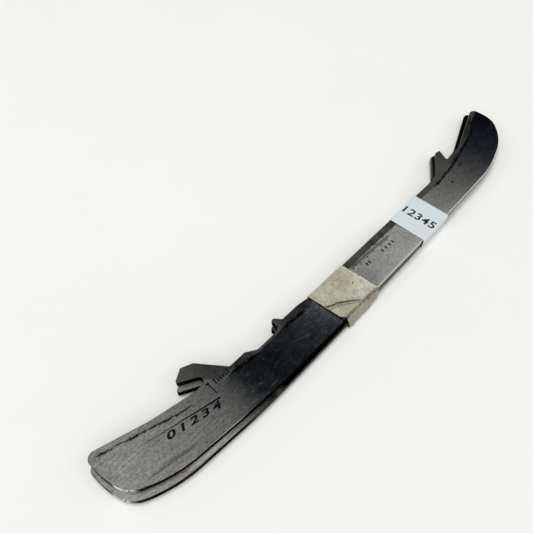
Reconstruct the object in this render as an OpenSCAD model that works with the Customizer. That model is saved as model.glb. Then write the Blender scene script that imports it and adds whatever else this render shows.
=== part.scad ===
// Taped pair of ice hockey skate runners, lying flat as they come off a stock shelf.
// X runs from toe (-X) to heel (+X), the ice edge faces -Y and the boot edge +Y.
// Z is up through the stack, and the origin is the middle of the pair at table height.

/* [Runner] */

// Length of one runner from toe to heel
runner_l = 280; // [260:1:300]
// Height of the steel from the ice edge to the boot edge at mid length
blade_h = 19.4; // [17:0.1:24]
// Thickness of the steel
steel_t = 3; // [2.5:0.1:4]
// Radius of the rocker ground along the ice edge
rocker_r = 3000; // [2700:50:3600]
// Distance of the rocker's lowest point from the heel
rocker_back = 130.2; // [124:0.2:138]

/* [Toe] */

// Height of the toe's upper corner above the ice edge
toe_h = 34.6; // [31:0.1:38]
// Rounding of the toe's upper corner
toe_top_r = 3; // [1.5:0.1:3.5]
// Radius of the nose
nose_r = 12.5; // [9:0.5:13]
// Radius of the curve that runs from the nose down to the ice edge
toe_curve_r = 62; // [48:1:66]

/* [Front hook] */

// Distance of the hook slot's rounded end from the toe
hook_x = 48.8; // [46:0.1:52]
// Radius of the hook slot's rounded end
slot_r = 2; // [1.6:0.1:2.4]
// Height of the slot's lower side above the boot edge
slot_y = 3.8; // [3:0.1:4.6]
// Opening angle of the slot's mouth, degrees
slot_angle = 29; // [24:0.5:33]
// Reach of the hook's tip past the slot's rounded end
claw_reach = 7.2; // [5.5:0.1:8]
// Height of the hook's top above the boot edge
claw_h = 15.8; // [14.5:0.1:17]

/* [Boot edge] */

// Height of the pad behind the hook above the boot edge
pad_y = 1.6; // [0.8:0.1:2.4]
// Depth of the relief behind the pad below the boot edge
relief_d = 1.4; // [0.6:0.1:2.2]
// Length of the relief, from the pad to the nub
relief_l = 18.1; // [14:0.1:21]
// Height of the nub above the boot edge
nub_h = 4; // [3:0.1:5]
// Height of the land between the nub and the tape above the boot edge
land_y = 0.85; // [0.4:0.05:1.2]

/* [Rear catch] */

// Distance of the prong's tip from the heel
prong_back = 45.4; // [42:0.1:50]
// Height of the prong above the boot edge
prong_h = 10.5; // [8.5:0.1:12]
// Slope of the prong's front flank, degrees
prong_slope = 33; // [28:0.5:38]
// Height of the catch notch's floor above the boot edge
notch_y = 2.6; // [1.8:0.1:3.4]

/* [Heel] */

// Height of the heel's upper corner above the ice edge
heel_h = 35.7; // [32:0.1:39]
// Rounding of the heel's upper corner
heel_top_r = 3; // [1.5:0.1:3.5]
// Radius of the heel's end
heel_end_r = 15.5; // [11:0.5:16]
// Radius of the curve that runs from the heel's end down to the ice edge
heel_curve_r = 43; // [34:1:45]

/* [Pair] */

// How far the lower runner has slipped towards the toe
lower_slip = 1.5; // [0:0.1:4]
// Turn of the lower runner against the upper one, degrees
lower_turn = 1; // [-1.2:0.01:1.2]
// Place along the runner, from the toe, where the pair's boot edges cross
lower_pivot = 165; // [145:1:185]

/* [Tape and label] */

// Middle of the tape band, from the toe
tape_x = 122.5; // [118:0.5:130]
// Width of the tape
tape_w = 24; // [18:0.5:28]
// Thickness of the tape's turns together
tape_t = 0.6; // [0.3:0.05:1.2]
// Middle of the stock label, from the toe
label_x = 184.2; // [176:0.1:192]
// Width of the stock label along the runner
label_w = 22.4; // [18:0.1:26]
// Thickness of the label
label_t = 0.15; // [0.1:0.01:0.25]
// How far the label's ends lap under the lower runner
label_lap = 6; // [3:0.5:8]

/* [Hidden] */

$fn = 96;

steel_colour = [0.42, 0.43, 0.45];
tape_colour = [0.82, 0.79, 0.70];
label_colour = [0.88, 0.90, 0.93];

// How far a corner's piece runs past the corner itself
apex = 0.6;

// Free room between the wrappings and the steel edges
wrap_gap = 0.05;

// Slopes of the ice edge's straight tangents, in degrees, from the toe to the heel
nose_slope = 76;
toe_slope = 24.3;
ease_slope = 4.9;
front_slope = 1.2;
rear_slope = 1.7;
heel_slope = 15.8;
heel_end_slope = 44.2;

// Where those tangents meet: distances from the toe, or from the heel
nose_x = 2.9;
toe_rise_x = 19.5;
toe_ease_x = 61;
heel_rise_x = runner_l - 38.25;
heel_low_x = runner_l - 13.2;

// Roundings that have no size of their own above
toe_face_r = 44;
toe_ease_r = 340;
heel_rise_r = 75;
lip_r = 12;
slack_r = 60;
heel_slack_r = 20;
prong_foot_r = 14;
relief_r = 3;
land_r = 20;
foot_r = 1.5;
edge_r = 1;
prong_tip_r = 0.6;

// The rocker's arc is no longer than the edge that it rounds
rocker_x = runner_l - rocker_back;
rocker_turn = (front_slope + rear_slope) / 2;
front_room = rocker_x - toe_ease_x - toe_ease_r * tan((ease_slope - front_slope) / 2);
rear_room = heel_rise_x - rocker_x - heel_rise_r * tan((heel_slope - rear_slope) / 2);
rocker_fit = min(rocker_r, 0.99 * min(front_room, rear_room) / tan(rocker_turn));
rocker_y = -blade_h - rocker_fit * (1 / cos(rocker_turn) - 1);

// Ice edge corner points, from the toe to the heel. The third value is the radius that rounds the corner
toe_ease = [toe_ease_x, rocker_y + (rocker_x - toe_ease_x) * tan(front_slope), toe_ease_r];
toe_rise = [toe_rise_x, toe_ease[1] + (toe_ease_x - toe_rise_x) * tan(ease_slope), toe_curve_r];
nose = [nose_x, toe_rise[1] + (toe_rise_x - nose_x) * tan(toe_slope), nose_r];
toe_face = [0, nose[1] + nose_x * tan(nose_slope), toe_face_r];
ice_mid = [rocker_x, rocker_y, rocker_fit];
heel_rise = [heel_rise_x, rocker_y + (heel_rise_x - rocker_x) * tan(rear_slope), heel_rise_r];
heel_low = [heel_low_x, heel_rise[1] + (heel_low_x - heel_rise_x) * tan(heel_slope), heel_curve_r];
heel_end = [runner_l, heel_low[1] + (runner_l - heel_low_x) * tan(heel_end_slope), heel_end_r];

// Boot edge of the toe, which dips a little on its way from the upper corner to the slot
toe_dip_x = 26;
toe_dip = 2;
toe_top = [0, toe_h - blade_h, toe_top_r];
toe_slack = [toe_dip_x, (toe_top[1] + slot_y) / 2 - toe_dip, slack_r];

// Front hook: the slot, its flat floor and the claw over it
slot_floor = 3.4;
claw_top_x = hook_x - 1;
claw_top_l = 5.2;
claw_top_fall = 2.2;
slot_lip = [hook_x - slot_floor, slot_y, lip_r];
slot_root = [hook_x + slot_r / tan(slot_angle / 2), slot_y, slot_r];
claw_tip_x = hook_x - claw_reach;
claw_tip = [claw_tip_x, slot_y + (slot_root[0] - claw_tip_x) * tan(slot_angle), edge_r];
claw_top = [claw_top_x, claw_h, edge_r];
claw_back = [claw_top_x + claw_top_l, claw_h - claw_top_fall, edge_r];

// Pad, relief, nub and land behind the hook
claw_back_l = 9.2;
pad_l = 8.6;
relief_run = 1.6;
nub_lean = 0.6;
nub_l = 1.7;
nub_fall = 0.1;
nub_back_l = 2.3;
land_l = 9.6;
land_fall_l = 6;
claw_foot = [claw_back[0] + claw_back_l, pad_y, foot_r];
pad_end = [claw_foot[0] + pad_l, pad_y, edge_r];
relief_start = [pad_end[0] + (pad_y + relief_d) * relief_run, -relief_d, relief_r];
relief_end = [pad_end[0] + relief_l, -relief_d, foot_r];
nub_front = [relief_end[0] + nub_lean, nub_h, edge_r];
nub_back = [nub_front[0] + nub_l, nub_h - nub_fall, edge_r];
nub_foot = [nub_back[0] + nub_back_l, land_y, foot_r];
land_end = [nub_foot[0] + land_l, land_y, land_r];
land_foot = [land_end[0] + land_fall_l, 0, land_r];

// Rear catch: the prong, the notch behind it and the heel's boot edge
prong_l = 3.3;
prong_fall = 0.6;
notch_under = 3.95;
notch_l = 13.45;
notch_rise = 0.9;
prong_tip = [runner_l - prong_back, prong_h - prong_fall, prong_tip_r];
prong_front = [prong_tip[0] - prong_l, prong_h, edge_r];
prong_foot = [prong_front[0] - prong_h / tan(prong_slope), 0, prong_foot_r];
notch = [prong_tip[0] - notch_under, notch_y, edge_r];
heel_slack = [notch[0] + notch_l, notch_y + notch_rise, heel_slack_r];
heel_top = [runner_l, heel_h - blade_h, heel_top_r];

OUTLINE = [toe_face, nose, toe_rise, toe_ease, ice_mid, heel_rise, heel_low, heel_end, heel_top,
           heel_slack, notch, prong_tip, prong_front, prong_foot, land_foot, land_end, nub_foot,
           nub_back, nub_front, relief_end, relief_start, pad_end, claw_foot, claw_back, claw_top,
           claw_tip, slot_root, slot_lip, toe_slack, toe_top];

// Geometry of corner i: its place, the directions to its neighbours and the sense of its turn
function place(p) = [p[0], p[1]];
function index_of(p) = [for (i = [0 : len(OUTLINE) - 1]) if (OUTLINE[i] == p) i][0];
function disc(p) = centre_of(index_of(p));
function toward(a, b) = (place(b) - place(a)) / norm(place(b) - place(a));
function next_of(i) = OUTLINE[(i + 1) % len(OUTLINE)];
function prev_of(i) = OUTLINE[(i + len(OUTLINE) - 1) % len(OUTLINE)];
function back_dir(i) = toward(OUTLINE[i], prev_of(i));
function on_dir(i) = toward(OUTLINE[i], next_of(i));
function half_angle(i) = acos(back_dir(i) * on_dir(i)) / 2;
function reach_of(i) = OUTLINE[i][2] / tan(half_angle(i));
function bisector(i) = (back_dir(i) + on_dir(i)) / norm(back_dir(i) + on_dir(i));
function centre_of(i) = place(OUTLINE[i]) + bisector(i) * OUTLINE[i][2] / sin(half_angle(i));
function steps(r) = max(96, ceil(60 * sqrt(r)));
function bite(i) = max(0.003, min(0.02, 0.0003 * OUTLINE[i][2])) / sin(half_angle(i));
function hollow(i) = back_dir(i)[0] * on_dir(i)[1] - back_dir(i)[1] * on_dir(i)[0] > 0;

// Lower runner's motion against the upper one, in the plane of the steel
function moved(p) = [lower_pivot - lower_slip + (p[0] - lower_pivot) * cos(lower_turn) - p[1] * sin(lower_turn),
                     (p[0] - lower_pivot) * sin(lower_turn) + p[1] * cos(lower_turn)];

// Ice and boot edges of the two runners at a place along the pair
rocker_c = disc(ice_mid);
rocker_c_low = moved(rocker_c);
function ice_y(c, x) = c[1] - sqrt(rocker_fit * rocker_fit - (x - c[0]) * (x - c[0]));
function land_at(x) = land_y * max(0, min(1, (land_foot[0] - x) / land_fall_l));
function low_boot_y(x) = (x + lower_slip - lower_pivot) * tan(lower_turn) + land_at(x + lower_slip);
function pair_low(x0, x1) = min([for (x = [x0, (x0 + x1) / 2, x1]) min(ice_y(rocker_c, x), ice_y(rocker_c_low, x))]);
function pair_high(x0, x1) = max(land_at(x0), land_at(x1), low_boot_y(x0), low_boot_y(x1));

// Levels of the stack above the table
low_z = tape_t;
mid_z = low_z + steel_t;
top_z = mid_z + steel_t;

tape_low = pair_low(tape_x - tape_w / 2, tape_x + tape_w / 2) - wrap_gap;
tape_high = pair_high(tape_x - tape_w / 2, tape_x + tape_w / 2) + wrap_gap;
label_low = pair_low(label_x - label_w / 2, label_x + label_w / 2) - wrap_gap;
label_high = pair_high(label_x - label_w / 2, label_x + label_w / 2) + wrap_gap;

// Middle of the pair, from the furthest points of its rounded corners
toe_left = lower_turn >= 0 ? moved(disc(toe_top))[0] - toe_top_r : moved(disc(toe_face))[0] - toe_face_r;
heel_right = lower_turn >= 0 ? moved(disc(heel_end))[0] + heel_end_r : moved(disc(heel_top))[0] + heel_top_r;
tops = [for (p = [heel_top, claw_top, toe_top]) max(disc(p)[1], moved(disc(p))[1]) + p[2]];
lows = [tape_low - tape_t, rocker_c[1] - rocker_fit, rocker_c_low[1] - rocker_fit];
mid = [(min(0, toe_left) + max(runner_l, heel_right)) / 2, (min(lows) + max(tops)) / 2, 0];

// What rounding corner i takes off, or fills where the outline turns inwards
module corner(i) {
    p = place(OUTLINE[i]);
    back = p + back_dir(i) * reach_of(i);
    on = p + on_dir(i) * reach_of(i);
    difference() {
        polygon([hollow(i) ? on : back, p - bisector(i) * apex, hollow(i) ? back : on]);
        translate(centre_of(i) - bisector(i) * bite(i))
            circle(r = OUTLINE[i][2], $fn = steps(OUTLINE[i][2]));
    }
}

module outline() {
    difference() {
        union() {
            polygon([for (p = OUTLINE) place(p)]);
            for (i = [0 : len(OUTLINE) - 1])
                if (hollow(i)) corner(i);
        }
        for (i = [0 : len(OUTLINE) - 1])
            if (!hollow(i)) corner(i);
    }
}

module runner() {
    linear_extrude(height = steel_t)
        outline();
}

module upper_runner() {
    color(steel_colour)
        translate([0, 0, mid_z] - mid)
            runner();
}

module lower_runner() {
    color(steel_colour)
        translate([lower_pivot - lower_slip, 0, low_z] - mid)
            rotate([0, 0, lower_turn])
                translate([-lower_pivot, 0, 0])
                    runner();
}

// Section of a wrapping in the YZ plane, with its lower corner at [y0, z0]
module rounded_section(y0, z0, y1, z1, r) {
    translate([y0 + r, z0])
        square([y1 - y0 - 2 * r, z1 - z0]);
    translate([y0, z0 + r])
        square([y1 - y0, z1 - z0 - 2 * r]);
    for (y = [y0 + r, y1 - r])
        for (z = [z0 + r, z1 - r])
            translate([y, z])
                circle(r = r);
}

// Sets a section up across the pair, w wide along X about the place x
module across(x, w) {
    translate([x - w / 2, 0, 0] - mid)
        rotate([90, 0, 90])
            linear_extrude(height = w)
                children();
}

module tape_band() {
    color(tape_colour)
        across(tape_x, tape_w)
            difference() {
                rounded_section(tape_low - tape_t, 0, tape_high + tape_t, top_z + tape_t, tape_t);
                translate([tape_low, low_z])
                    square([tape_high - tape_low, 2 * steel_t]);
            }
}

module stock_label() {
    color(label_colour)
        across(label_x, label_w)
            difference() {
                translate([label_low - label_t, low_z - label_t])
                    square([label_high - label_low + 2 * label_t, 2 * (steel_t + label_t)]);
                translate([label_low, low_z])
                    square([label_high - label_low, 2 * steel_t]);
                translate([label_low + label_lap, low_z - 2 * label_t])
                    square([label_high - label_low - 2 * label_lap, 3 * label_t]);
            }
}

upper_runner();
lower_runner();
tape_band();
stock_label();
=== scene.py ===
"""A taped pair of hockey skate runners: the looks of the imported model.

Laid out as an add-on and run as a script. Lengths are in metres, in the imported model's own frame:
+X from toe to heel, +Y from the ice edge to the boot edge, +Z up through the stack.
"""

import math
from functools import reduce

import bmesh
import bpy
from bpy.props import FloatProperty, FloatVectorProperty, PointerProperty, StringProperty
from mathutils import Matrix, Vector, noise


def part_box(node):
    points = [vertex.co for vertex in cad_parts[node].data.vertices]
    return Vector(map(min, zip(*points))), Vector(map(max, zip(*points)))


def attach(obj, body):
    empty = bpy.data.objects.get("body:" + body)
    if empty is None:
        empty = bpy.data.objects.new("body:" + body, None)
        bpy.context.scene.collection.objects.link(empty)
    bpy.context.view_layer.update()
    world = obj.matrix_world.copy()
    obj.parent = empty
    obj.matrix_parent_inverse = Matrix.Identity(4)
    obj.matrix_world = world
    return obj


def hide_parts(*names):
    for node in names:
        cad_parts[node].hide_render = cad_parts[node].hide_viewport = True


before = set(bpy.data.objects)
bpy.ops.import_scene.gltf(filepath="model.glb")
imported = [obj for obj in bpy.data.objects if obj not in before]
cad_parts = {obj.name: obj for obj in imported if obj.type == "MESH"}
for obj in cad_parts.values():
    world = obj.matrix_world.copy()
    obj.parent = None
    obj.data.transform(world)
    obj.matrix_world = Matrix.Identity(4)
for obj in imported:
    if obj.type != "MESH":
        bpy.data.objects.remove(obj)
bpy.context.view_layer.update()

bl_info = {
    "name": "Taped skate runners",
    "version": (1, 0, 0),
    "blender": (4, 5, 0),
    "location": "View3D > Sidebar > Runners",
    "description": "Builds two steel skate runners bound with tape, with a paper stock label",
    "category": "Object",
}

MM = 0.001

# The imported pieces
UPPER_LOW, UPPER_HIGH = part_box("upper_runner")
LOWER_LOW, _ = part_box("lower_runner")
TAPE_LOW, TAPE_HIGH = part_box("tape_band")
LABEL_LOW, LABEL_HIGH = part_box("stock_label")

# Heights of the top face, of the seam between the runners and of the underside, and two in millimetres
FACE_Z = UPPER_HIGH.z
SEAM_Z = UPPER_LOW.z
UNDER_Z = LOWER_LOW.z
FACE = FACE_Z / MM
SEAM = SEAM_Z / MM

# The point that places in millimetres below are measured from, the straight boot edge, and where the
# ice edge's rocker is lowest and how large its radius is
DATUM = Vector((-0.35 * MM, 0.343 * MM, 0))
BOOT_Y = DATUM.y + 1.609 * MM
ROCKER_X = DATUM.x + 10.985 * MM
ROCKER_R = 3.0

# How the lower runner lies: turned about the pivot, then slipped towards the toe
PIVOT = Vector((25.835 * MM, BOOT_Y, 0))
SLIP = Vector((-1.5 * MM, 0, 0))
TURN = math.radians(1.0)

# The photo's camera, in a square frame
CAMERA_AT = DATUM + Vector((-137.727, -74.274, 203.516)) * MM
CAMERA_TILT = math.radians(37)
CAMERA_HEADING = math.radians(-47.029)
SENSOR = 36
CAMERA_LENS = SENSOR * 530 / 533
CAMERA_NEAR = 5 * MM


def colour(name, about, default):
    """A colour property."""
    return FloatVectorProperty(name=name, description=about, default=default, subtype="COLOR", size=3,
                               min=0, max=1)


def length(name, about, default):
    """A length property in metres."""
    return FloatProperty(name=name, description=about, default=default, unit="LENGTH", precision=6)


def factor(name, about, default):
    """A plain number from 0 to 1."""
    return FloatProperty(name=name, description=about, default=default, subtype="FACTOR", min=0, max=1)


def print_of(name, about, default):
    """A string property for printed digits."""
    return StringProperty(name=name, description=about, default=default)


class RunnerLook(bpy.types.PropertyGroup):
    """Sizes and colours of the two steel runners."""

    edge_round: length("Edge rounding", "Width of the eased edge round each face", 0.18 * MM)
    hollow_depth: length("Hollow depth", "Depth of the hollow ground along the ice edge", 0.09 * MM)
    steel: colour("Steel", "Colour of the bare ground steel", (0.57, 0.57, 0.565))
    stain: colour("Stain", "Colour of the dull strip that the holder covers", (0.1, 0.1, 0.086))
    # Also the colour of painted shade beside the upper ice edge and along the upper prong, and of a
    # painted shadow along the tape's front edge
    dirt_and_shade: colour("Dirt", "Colour of the dirt line below the holder", (0.003, 0.003, 0.003))
    rust: colour("Rust", "Colour of the rust spots", (0.03, 0.021, 0.004))
    # The near-black colour of the ice-side walls wherever they are not ground bright, as along the toe
    # half
    dark_wall: colour("Grime", "Colour of the oily walls on the toe half", (0.004, 0.004, 0.0038))
    ground: colour("Ground edge", "Colour of the ground ice edge on the heel half", (0.34, 0.335, 0.32))
    gloss: factor("Roughness", "Roughness of the bare steel", 0.088)


class MarkLook(bpy.types.PropertyGroup):
    """The etched marks on the upper face."""

    depth: length("Plate", "Thickness of the etched film", 0.012 * MM)
    etch: colour("Etch", "Colour of the etched film", (0.003, 0.003, 0.0035))
    numbers: print_of("Scale numbers", "Plain numbers under the scale line", "01234")


class TapeLook(bpy.types.PropertyGroup):
    """The cloth tape."""

    thick: length("Thickness", "Thickness of one layer of tape", 0.26 * MM)
    gap: length("Gap", "Space between the steel and the first layer", 0.05 * MM)
    wrinkle: length("Wrinkles", "Height of the wrinkles", 0.16 * MM)
    lift: length("Lifted end", "How far the torn end stands off", 0.42 * MM)
    cloth: colour("Cloth", "Colour of the tape", (0.43, 0.415, 0.3))
    pale: colour("Pale cloth", "Colour of the cleaner patches", (0.53, 0.525, 0.42))
    # Also the colour of the painted shadow below the torn end
    soil_and_shade: colour("Soil", "Colour of the dirt on the tape", (0.045, 0.032, 0.022))


class LabelLook(bpy.types.PropertyGroup):
    """The paper label."""

    thick: length("Thickness", "Thickness of the paper", 0.12 * MM)
    flap: length("Flap", "How far the paper runs in under the lower runner", 6 * MM)
    digits: print_of("Digits", "Plain number printed on the label", "12345")
    paper: colour("Paper", "Colour of the paper", (0.63, 0.7, 0.72))
    ink: colour("Ink", "Colour of the print", (0.012, 0.012, 0.016))


class StageLook(bpy.types.PropertyGroup):
    """The floor and the lights."""

    floor: colour("Floor", "Colour of the floor", (0.9, 0.905, 0.87))
    sky: colour("Studio", "Colour of the even studio light", (0.95, 0.95, 0.945))
    key: FloatProperty(name="Key light", description="Power of the large soft light", default=17.0,
                       subtype="POWER")


class Shade:
    """A shader socket in a sum: each operator adds a Math node to its tree."""

    def __init__(self, tree, socket=None):
        self.tree = tree
        self.socket = socket

    def node(self, kind, settings=None, sockets=None, out=0):
        """Adds any node: its settings come first, then the values or links of its sockets."""
        made = self.tree.nodes.new(kind)
        for name, value in (settings or {}).items():
            if name == "points":
                fill_curve(made.mapping, value)
            else:
                setattr(made, name, value)
        for name, value in (sockets or {}).items():
            if isinstance(value, Shade):
                self.tree.links.new(value.socket, made.inputs[name])
            else:
                made.inputs[name].default_value = value
        return Shade(self.tree, made.outputs[out])

    def math(self, operation, *values):
        return self.node("ShaderNodeMath", {"operation": operation}, dict(enumerate(values)))

    def __add__(self, other):
        return self.math("ADD", self, other)

    def __radd__(self, other):
        return self.math("ADD", other, self)

    def __sub__(self, other):
        return self.math("SUBTRACT", self, other)

    def __rsub__(self, other):
        return self.math("SUBTRACT", other, self)

    def __mul__(self, other):
        return self.math("MULTIPLY", self, other)

    def __rmul__(self, other):
        return self.math("MULTIPLY", other, self)

    def __truediv__(self, other):
        return self.math("DIVIDE", self, other)

    def __rtruediv__(self, other):
        return self.math("DIVIDE", other, self)

    def __abs__(self):
        return self.math("ABSOLUTE", self)


def fill_curve(mapping, points):
    """Sets a float curve's points."""
    line = mapping.curves[0]
    while len(line.points) < len(points):
        line.points.new(0.5, 0.5)
    for point, place in zip(line.points, points):
        point.location = place
        point.handle_type = "VECTOR"
    mapping.update()


def ease(value, low, high):
    """0 where value is at low, 1 where it is at high, smooth between."""
    return value.node("ShaderNodeMapRange", {"interpolation_type": "SMOOTHSTEP"},
                      {"Value": value, "From Min": low, "From Max": high})


def within(value, start, full, fading, end):
    """1 from full to fading, 0 before start and past end, smooth between."""
    return ease(value, start, full) * ease(value, end, fading)


def table_curve(value, table):
    """A value from a table of pairs, straight between them, for places from 0 to the last one."""
    span = table[-1][0]
    points = [(place / span, level) for place, level in table]
    return value.node("ShaderNodeFloatCurve", {"points": points}, {"Value": value / span})


def either(a, b):
    """The larger of two masks."""
    return a.math("MAXIMUM", a, b)


def most(masks):
    """The largest of several masks."""
    return reduce(either, masks)


def mix(mask, a, b):
    """Colour a where mask is 0, colour b where it is 1."""
    a = a if isinstance(a, Shade) else (*a, 1)
    b = b if isinstance(b, Shade) else (*b, 1)
    return mask.node("ShaderNodeMix", {"data_type": "RGBA"}, {0: mask, 6: a, 7: b}, out=2)


def blotch(at, scale, detail=2.0, rough=0.5, out=0):
    """Soft noise, from 0 to 1, at so many patches per unit of its coordinates."""
    return at.node("ShaderNodeTexNoise", None,
                   {"Vector": at, "Scale": scale, "Detail": detail, "Roughness": rough}, out=out)


def spot(x, y, at, radius):
    """1 inside a round spot in millimetres, 0 outside."""
    away = x.math("SQRT", (x - at[0]) * (x - at[0]) + (y - at[1]) * (y - at[1]))
    return ease(away, radius, 0.3 * radius)


def streak(x, y, start, end, half, fade):
    """1 on a straight line from start to end in millimetres, fading over its edges and ends."""
    run = Vector(end) - Vector(start)
    d = run.normalized()
    along = (x - start[0]) * d.x + (y - start[1]) * d.y
    aside = abs((y - start[1]) * d.x - (x - start[0]) * d.y)
    ends = ease(along, 0, fade) * ease(along, run.length, run.length - fade)
    return ends * ease(aside, half, 0.2 * half)


def new_material(name):
    """A material with an empty Principled shader: its node and a Shade to build from."""
    material = bpy.data.materials.new(name)
    material.use_nodes = True
    shader = material.node_tree.nodes["Principled BSDF"]
    return material, shader, Shade(material.node_tree)


def feed(shader, **sockets):
    """Links or sets a shader's sockets, named with underscores."""
    for name, value in sockets.items():
        socket = shader.inputs[name.replace("_", " ")]
        if isinstance(value, Shade):
            value.tree.links.new(value.socket, socket)
        else:
            socket.default_value = value


def relief(height, distance):
    """A bumped normal from a height mask."""
    return height.node("ShaderNodeBump", None, {"Strength": 1.0, "Distance": distance, "Height": height})


def millimetres(start, place=DATUM, turn=0.0):
    """Object coordinates in millimetres, moved back from a piece's own place and turn."""
    at = start.node("ShaderNodeTexCoord", out="Object")
    return at.node("ShaderNodeMapping", {"vector_type": "TEXTURE"},
                   {"Vector": at, "Location": place, "Rotation": (0, 0, turn), "Scale": (MM, MM, MM)})


def split(at):
    """The x, y and z of a vector."""
    apart = at.tree.nodes.new("ShaderNodeSeparateXYZ")
    at.tree.links.new(at.socket, apart.inputs[0])
    return [Shade(at.tree, socket) for socket in apart.outputs]


def join(x, y, z):
    """A vector of three values."""
    start = next(v for v in (x, y, z) if isinstance(v, Shade))
    return start.node("ShaderNodeCombineXYZ", None, {0: x, 1: y, 2: z})


# The border of the strip that the holder covers, along the upper face, in millimetres: x, y, how
# strong the dirt line is there, how stained the strip is and how bright the stain is
STRIP = [
    (-141, 14.2, 0.0, 0.0, 1.0), (-136.5, 13.2, 0.3, 0.0, 1.0), (-135, 12.8, 1.1, 0.0, 1.0),
    (-130.6, 11.5, 0.9, 0.0, 1.0), (-126, 10.4, 0.5, 0.0, 1.0), (-124.3, 9.5, 1.2, 0.0, 1.0),
    (-117.3, 7.5, 1.0, 0.0, 1.0), (-109.5, 4.9, 1.1, 0.0, 1.0), (-103.5, 3.1, 0.9, 0.0, 1.0),
    (-95, 1.2, 0.2, 0.0, 1.15), (-91, 0.95, 0.0, 0.0, 0.95), (-85, 0.6, 0.0, 0.1, 0.44),
    (-80, 0.5, 0.1, 0.4, 0.3), (-75, 0.0, 1.8, 1.0, 0.15), (-67, -1.2, 1.7, 0.9, 0.09),
    (-64, -1.1, 0.2, 0.5, 0.08), (-50, -0.7, 0.2, 0.5, 0.07), (-47, -0.7, 1.9, 0.9, 0.07),
    (-37.5, -1.7, 1.8, 1.0, 0.12), (-35.5, -1.6, 0.4, 1.0, 0.16), (-30, -1.5, 0.3, 1.0, 0.2),
    (-1, -1.9, 0.25, 1.0, 0.5), (14.5, -1.8, 0.3, 1.0, 0.5), (31.3, -2.3, 0.2, 1.0, 0.47),
    (59.3, -1.7, 0.15, 1.0, 0.68), (69, -1.75, 0.3, 1.0, 0.82), (71.5, -1.9, 1.6, 1.0, 0.95),
    (80.6, -1.1, 1.5, 1.0, 1.02), (87, -0.4, 1.7, 1.0, 0.98), (92.5, 0.3, 1.9, 1.0, 0.8),
    (99.5, 1.7, 1.6, 1.0, 0.82), (111, 4.1, 1.4, 1.0, 0.68), (122, 6.6, 1.1, 1.0, 0.16),
    (126, 9.7, 0.8, 0.95, 0.13), (130.4, 11.4, 0.4, 0.9, 0.1), (134, 12.7, 0.1, 0.75, 0.08),
    (138, 13.7, 0.0, 0.55, 0.06), (141, 15, 0.0, 0.4, 0.05),
]
BORDER, DIRT, STAINED, BRIGHT = 1, 2, 3, 4
STRIP_Y = (-4, 16)

# Marks of wear and painted light, in millimetres. Streaks: start, end, half width and fade. Spots: place
# and radius
SCRATCHES = [((-53.5, -7.3), (-40.5, -11.9), 0.24, 3.0), ((-59.7, -5.3), (-56.5, -6.4), 0.22, 1.0),
             ((-65.8, -4.4), (-63.8, -4.7), 0.22, 0.8)]
SMEARS = [((-130.5, -6.6), (-105, -11.0), 0.7, 7.0), ((-122, -7.2), (-108, -9.9), 0.5, 5.0)]
SCUFFS = [(start, end, 1.2, 2.5) for start, end in (
    ((106.5, -5.8), (114.5, -4.0)), ((102, -11.2), (109, -9.8)), ((90.5, -3.2), (97, -2.0)),
    ((89.5, -10.4), (96.5, -9.2)), ((124, -5.4), (131.5, -3.8)), ((112, -1.0), (118.5, 0.6)))]
# A dark line on the steel along the tape's front edge: gum, and a painted shadow of that edge
GUM_AND_SHADOW = ((-28.9, 3.0), (-27.6, -18.5), 0.9, 0.5)
# Painted shade on the lower prong, along the upper prong's flank
PRONG_SHADE = ((79.2, 1.75), (94.8, 11.85), 1.15, 1.5)
RUST_SPOTS = [((15.9, -0.9), 2.1), ((22.6, -0.9), 1.8)]
PIT = ((78.7, -6.8), 1.0)
FILM = ((-54, -7), 11.0)
TOE_WORN = ((-136.0, -3.8), 6.0)
# A painted highlight at the toe tip
TOE_HIGHLIGHT = ((-137.4, -1.4), 2.8)


def strip_curve(x, column, low, high):
    """A value that follows the strip's border along the runner."""
    first = STRIP[0][0]
    table = [(row[0] - first, (row[column] - low) / (high - low)) for row in STRIP]
    return table_curve(x - first, table) * (high - low) + low


# The steel's tone is mixed up from black: this share of the mix is an even tone
TONE_SHARE = 0.65
BLACK = (0, 0, 0)


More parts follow.
